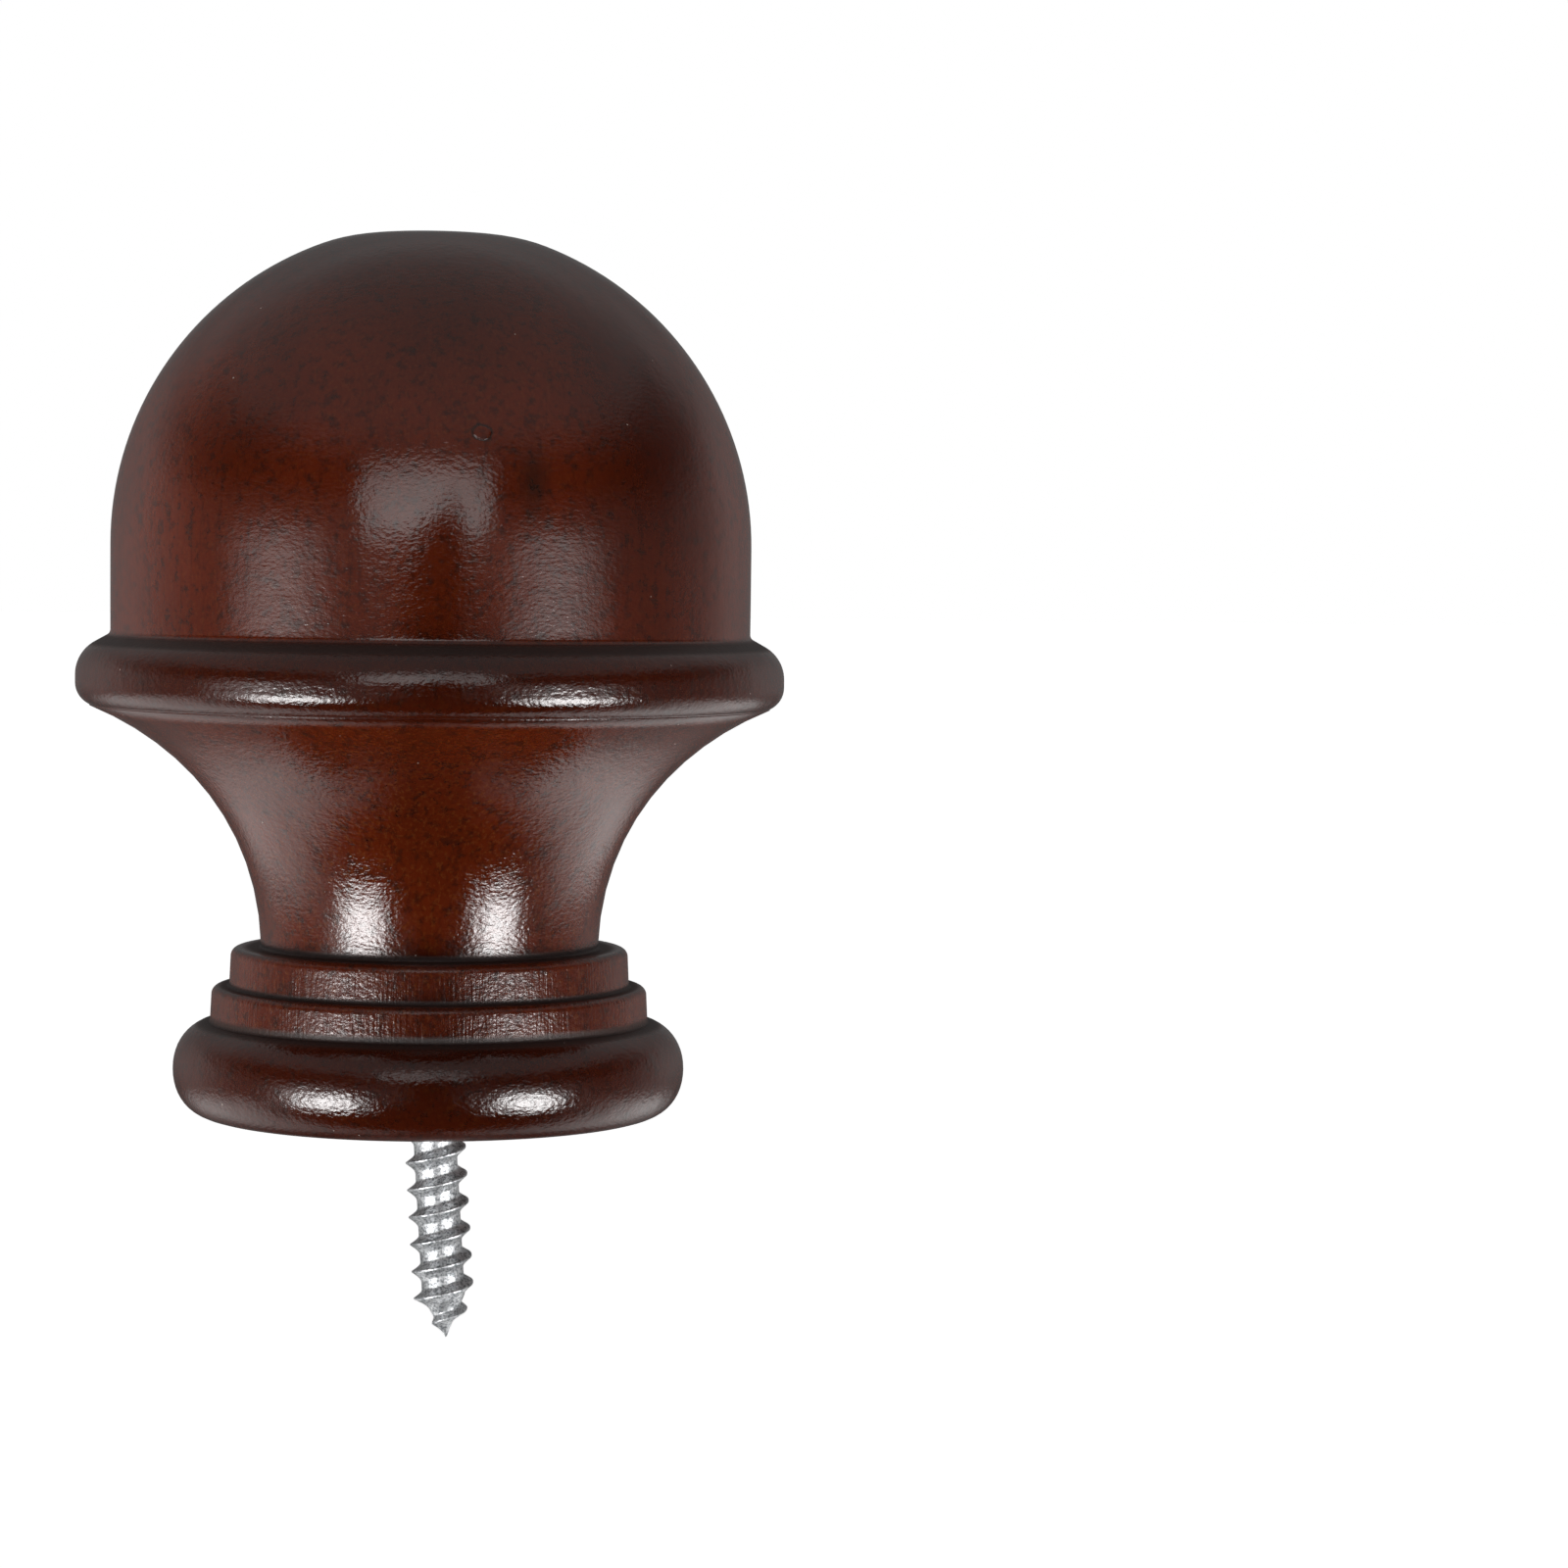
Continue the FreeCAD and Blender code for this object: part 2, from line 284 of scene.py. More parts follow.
class Field:
    """One value in a node tree. Arithmetic on it adds Math nodes."""

    def __init__(self, shader, socket):
        self.shader = shader
        self.socket = socket

    def twin(self, output):
        """Another output of the same node."""
        return Field(self.shader, self.socket.node.outputs[output])

    def step(self, operation, *others):
        """A Math node that starts from this value."""
        inputs = dict(enumerate((self,) + others))
        return self.shader.add("ShaderNodeMath", {"operation": operation}, inputs)

    def __add__(self, other):
        return self.step("ADD", other)

    __radd__ = __add__

    def __sub__(self, other):
        return self.step("SUBTRACT", other)

    def __rsub__(self, other):
        return (self * -1.0).step("ADD", other)

    def __mul__(self, other):
        return self.step("MULTIPLY", other)

    __rmul__ = __mul__

    def __pow__(self, other):
        return self.step("POWER", other)

    def __rpow__(self, other):
        return self.shader.add("ShaderNodeMath", {"operation": "POWER"}, {0: other, 1: self})

    def __abs__(self):
        return self.step("ABSOLUTE")

    def minimum(self, other):
        """The smaller of two values."""
        return self.step("MINIMUM", other)

    def maximum(self, other):
        """The larger of two values."""
        return self.step("MAXIMUM", other)

    def rise(self, low, high):
        """0 below low and 1 above high, with a smooth change between."""
        return self.shader.add(
            "ShaderNodeMapRange", {"interpolation_type": "SMOOTHSTEP"}, {0: self, 1: low, 2: high})

    def fall(self, low, high):
        """1 below low and 0 above high."""
        return 1.0 - self.rise(low, high)

    def window(self, low, high, soft):
        """1 between low and high, with soft edges."""
        return self.rise(low - soft, low + soft) * self.fall(high - soft, high + soft)

    def between(self, first, second):
        """First where this value is 0, and second where it is 1."""
        return self * (second - first) + first


class Shader:
    """A node tree that is filled from Python."""

    def __init__(self, owner):
        owner.use_nodes = True
        self.tree = owner.node_tree
        self.tree.nodes.clear()

    def add(self, kind, settings=None, inputs=None, output=0):
        """Adds a node: its settings first, then its sockets' values or links. Gives one output."""
        node = self.tree.nodes.new(kind)
        for name, value in (settings or {}).items():
            setattr(node, name, value)
        for key, value in (inputs or {}).items():
            if isinstance(value, Field):
                self.tree.links.new(value.socket, node.inputs[key])
            else:
                node.inputs[key].default_value = value
        return Field(self, node.outputs[output]) if len(node.outputs) else node

    def place(self):
        """Object coordinates."""
        return self.add("ShaderNodeTexCoord", output=3)

    def mix(self, factor, first, second):
        """Mixes two colours."""
        return self.add(
            "ShaderNodeMix", {"data_type": "RGBA"}, {0: factor, 6: first, 7: second}, output=2)

    def split(self, vector):
        """The three parts of a vector."""
        node = self.add("ShaderNodeSeparateXYZ", inputs={0: vector}).socket.node
        return [Field(self, socket) for socket in node.outputs]

    def stretched(self, vector, scale):
        """A vector stretched along each axis."""
        return self.add(
            "ShaderNodeMapping", {"vector_type": "POINT"}, {"Vector": vector, "Scale": scale})

    def nearness(self, vector, place, scale, reach):
        """1 at a place and 0 beyond a reach from it, smooth between."""
        away = self.add(
            "ShaderNodeVectorMath", {"operation": "SUBTRACT"}, {0: vector, 1: tuple(place)})
        distance = self.add(
            "ShaderNodeVectorMath", {"operation": "LENGTH"},
            {0: self.stretched(away, scale)}, output=1)
        return distance.fall(0.0, reach)

    def noise(self, vector, size, detail=2.0, roughness=0.5):
        """Noise with features of about one size, in metres."""
        return self.add("ShaderNodeTexNoise", inputs={
            "Vector": vector, "Scale": 1.0 / size, "Detail": detail, "Roughness": roughness})

    def bump(self, height):
        """A normal bent by a height in metres."""
        return self.add(
            "ShaderNodeBump", inputs={"Strength": 1.0, "Distance": 1.0, "Height": height})


def rgba(value):
    """A colour with full alpha."""
    return (value[0], value[1], value[2], 1.0)


def lacquered_wood(finish, turning):
    """Dark stained wood with fine upright grain, under wavy gloss lacquer."""
    material = bpy.data.materials.new("lacquered_mahogany")
    shader = Shader(material)
    place = shader.place()
    x, y, z = shader.split(place)
    # deep is thick stain, and also the colour of painted shade
    deep, dirt_and_shade = rgba(finish.stain_deep_and_shade), rgba(finish.groove)

    # Noises: the stretched ones run up and down, with the grain
    clouds = shader.noise(place, finish.cloud_size, detail=3.0)
    streaks = shader.noise(
        shader.stretched(place, (1.0, 1.0, 0.07)), finish.streak_size, detail=3.0, roughness=0.6)
    flecks = shader.noise(
        shader.stretched(place, (1.0, 1.0, 0.7)), finish.fleck_size, detail=3.0, roughness=0.7)
    mottle = shader.noise(place, finish.mottle_size, detail=3.0, roughness=0.65)
    pores = shader.noise(
        shader.stretched(place, (1.0, 1.0, 0.10)), finish.pore_size, detail=1.0)

    # Parts of the body, each 1 on its own heights
    ball_part = z.rise(turning.ring_middle + 3.0 * MM, turning.ring_middle + 5.0 * MM)
    foot_part = z.fall(turning.foot_top - MM, turning.foot_top + MM)
    steps_part = z.window(turning.foot_top, turning.upper_top, 0.3 * MM)
    ring_part = z.window(
        turning.ring_middle - 3.4 * MM, turning.ring_middle + 3.5 * MM, 0.4 * MM)
    crown_part = z.rise(66.0 * MM, 80.0 * MM)

    stained = rgba(finish.stain)
    for factor, over in (
        (clouds.rise(0.25, 0.75) * finish.clouds, deep),
        (streaks.rise(0.50, 0.80) * finish.streaks, deep),
        (mottle.rise(0.48, 0.66) * finish.mottle, deep),
        (flecks.rise(0.48, 0.70) * ball_part.between(finish.flecks, finish.flecks_ball),
         rgba(finish.fleck)),
        (pores.rise(0.66, 0.74) * ball_part.between(finish.pores, finish.pores_ball), dirt_and_shade),
    ):
        stained = shader.mix(factor, stained, over)

    # Painted shade: darker bands where less light falls, one up the front, slightly aslant, and
    # two beside it on the ball
    front = abs(x - z * 0.03 + 0.6 * MM).fall(1.5 * MM, 5.0 * MM) * y.fall(-10.0 * MM, -4.0 * MM)
    front = front * z.rise(18.0 * MM, 30.0 * MM) * z.fall(59.0 * MM, 65.0 * MM)
    right = shader.nearness(place, turning.right_shade_band, (0.8, 0.8, 0.35), 12.0 * MM)
    left = shader.nearness(place, turning.left_shade_band, (0.8, 0.8, 0.50), 9.0 * MM)
    bands = front * finish.front_shade + right * finish.right_shade
    bands = bands + left * finish.left_shade + crown_part * finish.crown_dark
    stained = shader.mix(bands.minimum(1.0), stained, deep)
    # Foot and ring darker: partly deeper stain, partly painted shade where less light falls
    stained = shader.mix((foot_part + ring_part) * finish.edge_stain_and_shade, stained, deep)

    # Dirt and painted shade: the grooves and the ledges beside them darken, partly for dirt and
    # thick stain, partly for the shade that falls there
    dirt_and_shade_mask = groove_dirt_and_shade(turning, (x * x + y * y) ** 0.5, z)
    stained = shader.mix(dirt_and_shade_mask * finish.groove_dirt_and_shade_strength, stained, dirt_and_shade)

    # Dust: a speck in some of the cells, in more of them below the ball
    cells = shader.add(
        "ShaderNodeTexVoronoi", inputs={"Vector": place, "Scale": 1.0 / finish.dust_spacing})
    picked = shader.split(cells.twin("Color"))[0]
    below_ball = z.fall(turning.ring_middle + 5.5 * MM, turning.ring_middle + 7.5 * MM)
    specks = cells.fall(0.020, 0.040) * (picked + below_ball * 0.2).rise(0.62, 0.66)
    stained = shader.mix(specks, stained, rgba(finish.dust))

    chip = shader.nearness(place, turning.chip, (1.0, 1.0, 1.2), finish.chip_size)
    chip = chip + mottle * 0.5 - 0.25
    chip_rim = chip.window(0.10, 0.35, 0.10) * 0.8
    smudge = shader.nearness(place, turning.smudge, (1.6, 1.0, 0.6), finish.smudge_size) * 0.6
    stained = shader.mix(chip_rim + smudge, stained, dirt_and_shade)

    # Relief, in metres
    peel = shader.noise(
        shader.stretched(place, (1.0, 1.0, 1.6)), finish.peel_size, detail=3.0, roughness=0.5)
    wide = shader.noise(place, finish.wide_size, detail=1.0)
    calm = 1.0 - steps_part * finish.step_calm - ball_part * finish.ball_calm
    relief = (peel * finish.peel + wide * finish.wide) * calm
    relief = relief + (pores + flecks) * steps_part * finish.step_relief
    relief = relief + streaks * steps_part.between(finish.grain, finish.grain_steps)
    relief = relief + specks * finish.dust_relief + chip.rise(0.2, 0.5) * finish.chip_relief

    roughness = dirt_and_shade_mask * finish.groove_roughness + steps_part * finish.step_roughness
    principled = shader.add("ShaderNodeBsdfPrincipled", inputs={
        "Base Color": stained,
        "Roughness": roughness + finish.lacquer_roughness,
        "IOR": 1.5,
        "Normal": shader.bump(relief),
    })
    shader.add("ShaderNodeOutputMaterial", inputs={"Surface": principled})
    return material


def groove_dirt_and_shade(turning, radius, height):
    """1 in each groove of the turning, and 0 beyond its reach. It marks dirt and painted shade
    there.
    """
    grooves = [
        (turning.lower_radius, turning.foot_top, 2.3 * MM),
        (turning.upper_radius, turning.lower_top, 1.4 * MM),
        (turning.neck_radius, turning.upper_top, 2.2 * MM),
        (turning.ball_radius + 0.8 * MM, turning.ring_middle + 3.3 * MM, 2.1 * MM),
    ]
    flatness = 6.0
    full_share = 0.4
    dirt_and_shade_mask = None
    for groove_radius, groove_height, reach in grooves:
        across = radius - groove_radius
        along = height - groove_height
        away = (across * across + along * along * flatness) ** 0.5
        near = away.fall(full_share * reach, reach)
        dirt_and_shade_mask = near if dirt_and_shade_mask is None else dirt_and_shade_mask.maximum(near)
    return dirt_and_shade_mask


def bright_zinc(finish):
    """Zinc plated steel with a mottled grain."""
    material = bpy.data.materials.new("bright_zinc")
    shader = Shader(material)
    place = shader.place()
    grain = shader.noise(place, finish.zinc_grain, detail=3.0, roughness=0.75)
    patches = shader.noise(place, finish.zinc_patch, detail=2.0)
    dull = (grain.rise(0.47, 0.57) * 0.85 + patches.rise(0.40, 0.70) * 0.35).minimum(1.0)
    relief = grain * finish.zinc_grain_relief + patches * finish.zinc_patch_relief
    principled = shader.add("ShaderNodeBsdfPrincipled", inputs={
        "Base Color": shader.mix(dull, rgba(finish.zinc), rgba(finish.zinc_dull)),
        "Metallic": finish.zinc_metal,
        "Roughness": dull * finish.zinc_dullness + finish.zinc_roughness,
        "Normal": shader.bump(relief),
    })
    shader.add("ShaderNodeOutputMaterial", inputs={"Surface": principled})
    return material


def heading(turn):
    """The direction at an angle counted from +X towards +Z."""
    return Vector((math.cos(turn), math.sin(turn)))


class Outline:
    """A lathe profile in the XZ plane, drawn as a Bezier spline."""

    def __init__(self, radius, height):
        self.places = [Vector((radius, height))]
        self.handles = []

    def line(self, radius, height):
        """A straight run."""
        start, end = self.places[-1], Vector((radius, height))
        self.handles.append((start.lerp(end, 1 / 3), start.lerp(end, 2 / 3)))
        self.places.append(end)

    def pull(self, radius, height, leave, arrive):
        """A smooth run with a handle at each end."""
        start, end = self.places[-1], Vector((radius, height))
        self.handles.append((start + Vector(leave), end + Vector(arrive)))
        self.places.append(end)

    def arc(self, centre, radius, first, last, pieces=1):
        """A round run between two directions, in radians counted from +X towards +Z."""
        turn = (last - first) / pieces
        reach = radius * 4 / 3 * math.tan(turn / 4)
        for piece in range(pieces):
            start = first + turn * piece
            leave = heading(start + QUARTER_TURN) * reach
            arrive = heading(start + turn + QUARTER_TURN) * -reach
            end = Vector(centre) + heading(start + turn) * radius
            self.pull(end.x, end.y, leave, arrive)

    def wire(self, divisions):
        """The profile as a bmesh of edges, in the XZ plane."""
        data = bpy.data.curves.new("outline", "CURVE")
        data.dimensions = "3D"
        data.resolution_u = divisions
        spline = data.splines.new("BEZIER")
        spline.bezier_points.add(len(self.handles))
        lefts = [self.places[0]] + [arrive for leave, arrive in self.handles]
        rights = [leave for leave, arrive in self.handles] + [self.places[-1]]
        for point, place, left, right in zip(spline.bezier_points, self.places, lefts, rights):
            point.handle_left_type = point.handle_right_type = "FREE"
            point.co = (place.x, 0, place.y)
            point.handle_left = (left.x, 0, left.y)
            point.handle_right = (right.x, 0, right.y)
        holder = bpy.data.objects.new("outline", data)
        mesh = bpy.data.meshes.new_from_object(holder)
        wire = bmesh.new()
        wire.from_mesh(mesh)
        bpy.data.objects.remove(holder)
        bpy.data.curves.remove(data)
        bpy.data.meshes.remove(mesh)
        return wire


def body_outline(t):
    """The turned body's profile, from the bore's mouth at the seat face to the crown."""
    outline = Outline(t.bore_radius + t.bore_chamfer, 0)
    outline.line(t.seat_radius, 0)

    # The rounded foot
    under = t.foot_radius - t.seat_radius
    over = t.foot_radius - t.lower_radius - t.groove_round
    rise = t.foot_top - t.foot_middle
    outline.pull(
        t.foot_radius, t.foot_middle,
        (under * t.foot_under, t.foot_middle * t.foot_lift), (0, -t.foot_middle * t.foot_below))
    outline.pull(
        t.foot_radius - over, t.foot_top,
        (0, rise * t.foot_above), (over * t.foot_over, -rise * t.foot_dip))

    # The two steps, each with a tool-rounded groove below it
    for radius, low, high in (
        (t.lower_radius, t.foot_top, t.lower_top),
        (t.upper_radius, t.lower_top, t.upper_top),
    ):
        groove(outline, radius, low, t.groove_round)
        radius -= (high - low) * math.tan(t.step_lean)
        outline.line(radius, high - t.step_round)
        outline.arc(
            (radius - t.step_round, high - t.step_round), t.step_round, 0, QUARTER_TURN)
    groove(outline, t.neck_radius, t.upper_top, t.groove_round)

    # The hollow, which flares out to the quirk under the ring
    belly = Vector((t.ring_radius - t.belly_bead, t.belly_middle))
    belly_turn = t.belly_end - QUARTER_TURN
    lip = belly + heading(belly_turn) * t.belly_bead
    mouth = lip - Vector((0, t.quirk))
    low = t.upper_top + t.groove_round
    leave = heading(QUARTER_TURN - t.neck_lean) * t.cove_low * (mouth.y - low)
    arrive = heading(t.ring_under) * t.cove_high * (mouth.x - t.neck_radius)
    outline.pull(mouth.x, mouth.y, leave, -arrive)
    outline.line(lip.x, lip.y)

    # The ring's bead and its sloping top
    outline.arc(belly, t.belly_bead, belly_turn, 0)
    outline.line(t.ring_radius, t.ring_middle)
    shoulder_turn = QUARTER_TURN - t.ring_top
    outline.arc((t.ring_radius - t.ring_bead, t.ring_middle), t.ring_bead, 0, shoulder_turn)
    shoulder = outline.places[-1]

    # The rounded groove between the ring's top and the ball
    waist = t.ball_radius - t.ball_waist
    corner = Vector((waist, shoulder.y + (shoulder.x - waist) * math.tan(t.ring_top)))
    back = t.ball_groove * math.tan(shoulder_turn / 2)
    centre = Vector((waist + t.ball_groove, corner.y + back))
    tangent = corner + heading(-t.ring_top) * back
    outline.line(tangent.x, tangent.y)
    outline.arc(centre, t.ball_groove, shoulder_turn - math.pi, -math.pi)

    # The ball's side and dome, and the crown
    third = (t.ball_middle - centre.y) / 3
    outline.pull(t.ball_radius, t.ball_middle, (t.ball_waist * 2 / 3, third), (0, -third))
    flat_turn = math.acos(t.crown_flat / t.ball_radius)
    outline.arc((0, t.ball_middle), t.ball_radius, 0, flat_turn, pieces=3)
    pull = t.crown_pull * t.crown_flat
    outline.pull(0, t.crown_top, heading(flat_turn + QUARTER_TURN) * pull, (pull, 0))
    return outline


def groove(outline, radius, height, rounding):
    """Runs in along a ledge and turns up a wall, with the tool's rounding between them."""
    outline.line(radius + rounding, height)
    outline.arc((radius + rounding, height + rounding), rounding, -QUARTER_TURN, -math.pi)


def finished(mesh, name, material, node):
    """Puts a bmesh in the scene as a smooth piece that stands for a CAD node."""
    bmesh.ops.recalc_face_normals(mesh, faces=mesh.faces)
    for face in mesh.faces:
        face.smooth = True
    piece = placed(mesh, name, material)
    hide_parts(node)
    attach(piece, PIECE_BODY)


def placed(mesh, name, material):
    """Puts a bmesh in the scene as an object with one material."""
    data = bpy.data.meshes.new(name)
    mesh.to_mesh(data)
    mesh.free()
    data.materials.append(material)
    thing = bpy.data.objects.new(name, data)
    bpy.context.scene.collection.objects.link(thing)
    return thing


def leaned(mesh, verts, screw):
    """Leans vertices made on the Z axis over to the screw's own axis."""
    turn = Matrix.Rotation(-screw.lean, 3, "Y")
    bmesh.ops.rotate(mesh, verts=verts, cent=(0, 0, 0), matrix=turn)
    bmesh.ops.translate(mesh, verts=verts, vec=(screw.offset, 0, 0))


class FINIAL_OT_turn_body(bpy.types.Operator):
    """Turns the wooden body from its profile and bores it for the screw"""

    bl_idname = "finial.turn_body"
    bl_label = "Turn Body"

    def execute(self, context):
        turning = context.scene.finial_turning
        mesh = body_outline(turning).wire(turning.run_divisions)
        bmesh.ops.remove_doubles(mesh, verts=mesh.verts, dist=MERGE_PROFILE)
        bmesh.ops.spin(
            mesh, geom=mesh.verts[:] + mesh.edges[:], axis=(0, 0, 1), cent=(0, 0, 0),
            dvec=(0, 0, 0), angle=FULL_TURN, steps=turning.segments, use_merge=True)
        bmesh.ops.remove_doubles(mesh, verts=mesh.verts, dist=MERGE_FINE)
        self.bore(mesh, turning, context.scene.finial_screw)
        material = lacquered_wood(context.scene.finial_finish, turning)
        finished(mesh, "turned_body", material, "finial_body")
        return {"FINISHED"}

    def bore(self, mesh, turning, screw):
        """Carries the seat's open rim up the screw's axis, as a bore and its drilled end."""
        rim = [edge for edge in mesh.edges if edge.is_boundary]
        if len(rim) != turning.segments:
            raise RuntimeError("The seat face has no open rim to bore from")
        rim_verts = list({vert for edge in rim for vert in edge.verts})
        shoulder = turning.bore_depth + (turning.bore_radius - turning.pilot_radius) / 2
        end = turning.pilot_depth + turning.pilot_radius / 2
        end_radius = turning.pilot_radius / 50
        rings = []
        for radius, depth in (
            (turning.bore_radius, turning.bore_chamfer),
            (turning.bore_radius, turning.bore_depth),
            (turning.pilot_radius, shoulder),
            (turning.pilot_radius, turning.pilot_depth),
            (end_radius, end),
        ):
            made = bmesh.ops.extrude_edge_only(mesh, edges=rim)["geom"]
            edges = [item for item in made if isinstance(item, bmesh.types.BMEdge)]
            rim = [edge for edge in edges if edge.is_boundary]
            ring = [item for item in made if isinstance(item, bmesh.types.BMVert)]
            for vert in ring:
                vert.co.xy = vert.co.xy.normalized() * radius
                vert.co.z = depth
            rings += ring
        bmesh.ops.edgeloop_fill(mesh, edges=rim)
        leaned(mesh, rings, screw)
        bmesh.ops.translate(mesh, verts=rim_verts, vec=(screw.offset, 0, 0))


class FINIAL_OT_make_screw(bpy.types.Operator):
    """Makes the double-ended wood screw with its right-hand thread"""

    bl_idname = "finial.make_screw"
    bl_label = "Make Screw"

    def execute(self, context):
        screw = context.scene.finial_screw
        mesh = self.section(screw).wire(screw.run_divisions)
        bmesh.ops.remove_doubles(mesh, verts=mesh.verts, dist=MERGE_FINE)
        bmesh.ops.spin(
            mesh, geom=mesh.verts[:] + mesh.edges[:], axis=(0, 0, 1), cent=(0, 0, 0),
            dvec=(0, 0, screw.pitch / screw.divisions), angle=FULL_TURN, steps=screw.divisions,
            use_merge=False)
        turn = mesh.verts[:] + mesh.edges[:] + mesh.faces[:]
        turns = math.ceil((screw.exposed + screw.buried) / screw.pitch) + 2
        for number in range(1, turns):
            copy = bmesh.ops.duplicate(mesh, geom=turn)["geom"]
            verts = [item for item in copy if isinstance(item, bmesh.types.BMVert)]
            bmesh.ops.translate(mesh, verts=verts, vec=(0, 0, screw.pitch * number))
        bmesh.ops.remove_doubles(mesh, verts=mesh.verts, dist=MERGE_THREAD)
        for vert in mesh.verts:
            self.shape(vert, screw)
        bmesh.ops.remove_doubles(mesh, verts=mesh.verts, dist=MERGE_THREAD)
        bmesh.ops.dissolve_degenerate(mesh, edges=mesh.edges, dist=MERGE_FINE)
        leaned(mesh, mesh.verts, screw)
        material = bright_zinc(context.scene.finial_finish)
        finished(mesh, "threaded_screw", material, "dowel_screw")
        return {"FINISHED"}

    def section(self, screw):
        """One pitch of the thread, from crest to crest, with hollow flanks."""
        below_end = (screw.crest_below_seat - screw.exposed) % screw.pitch
        start = -screw.exposed - screw.pitch - below_end
        end = start + screw.pitch
        crest = screw.crest_width / 2
        above, below = screw.flank_above, screw.flank_below
        drop = (screw.core_radius - screw.crest_radius) * screw.flank_drop
        outline = Outline(screw.crest_radius, start + crest)
        outline.pull(
            screw.core_radius, start + crest + above,
            (drop, above * screw.flank_spread), (0, -above * screw.flank_root))
        outline.line(screw.core_radius, end - crest - below)
        outline.pull(
            screw.crest_radius, end - crest,
            (0, below * screw.flank_root), (drop, -below * screw.flank_spread))
        outline.line(screw.crest_radius, end + crest)
        return outline

    def shape(self, vert, screw):
        """Sets a vertex to the core at its height, and lowers the thread towards its ends."""
        height = min(max(vert.co.z, -screw.exposed), screw.buried)
        ridge = vert.co.xy.length - screw.core_radius
        to_tip = min(height + screw.exposed, screw.buried - height)
        core = screw.core_radius * min(to_tip / screw.point, 1)
        to_shank = max(screw.shank_low - height, height - screw.shank_high)
        if to_shank < screw.shank_taper:
            thicker = screw.shank_radius - screw.core_radius
            core += thicker * min(1 - to_shank / screw.shank_taper, 1)
        grown = min(to_tip / screw.rise, to_shank / screw.rise, 1)
        vert.co.xy = vert.co.xy.normalized() * (core + ridge * max(grown, 0))
        vert.co.z = height


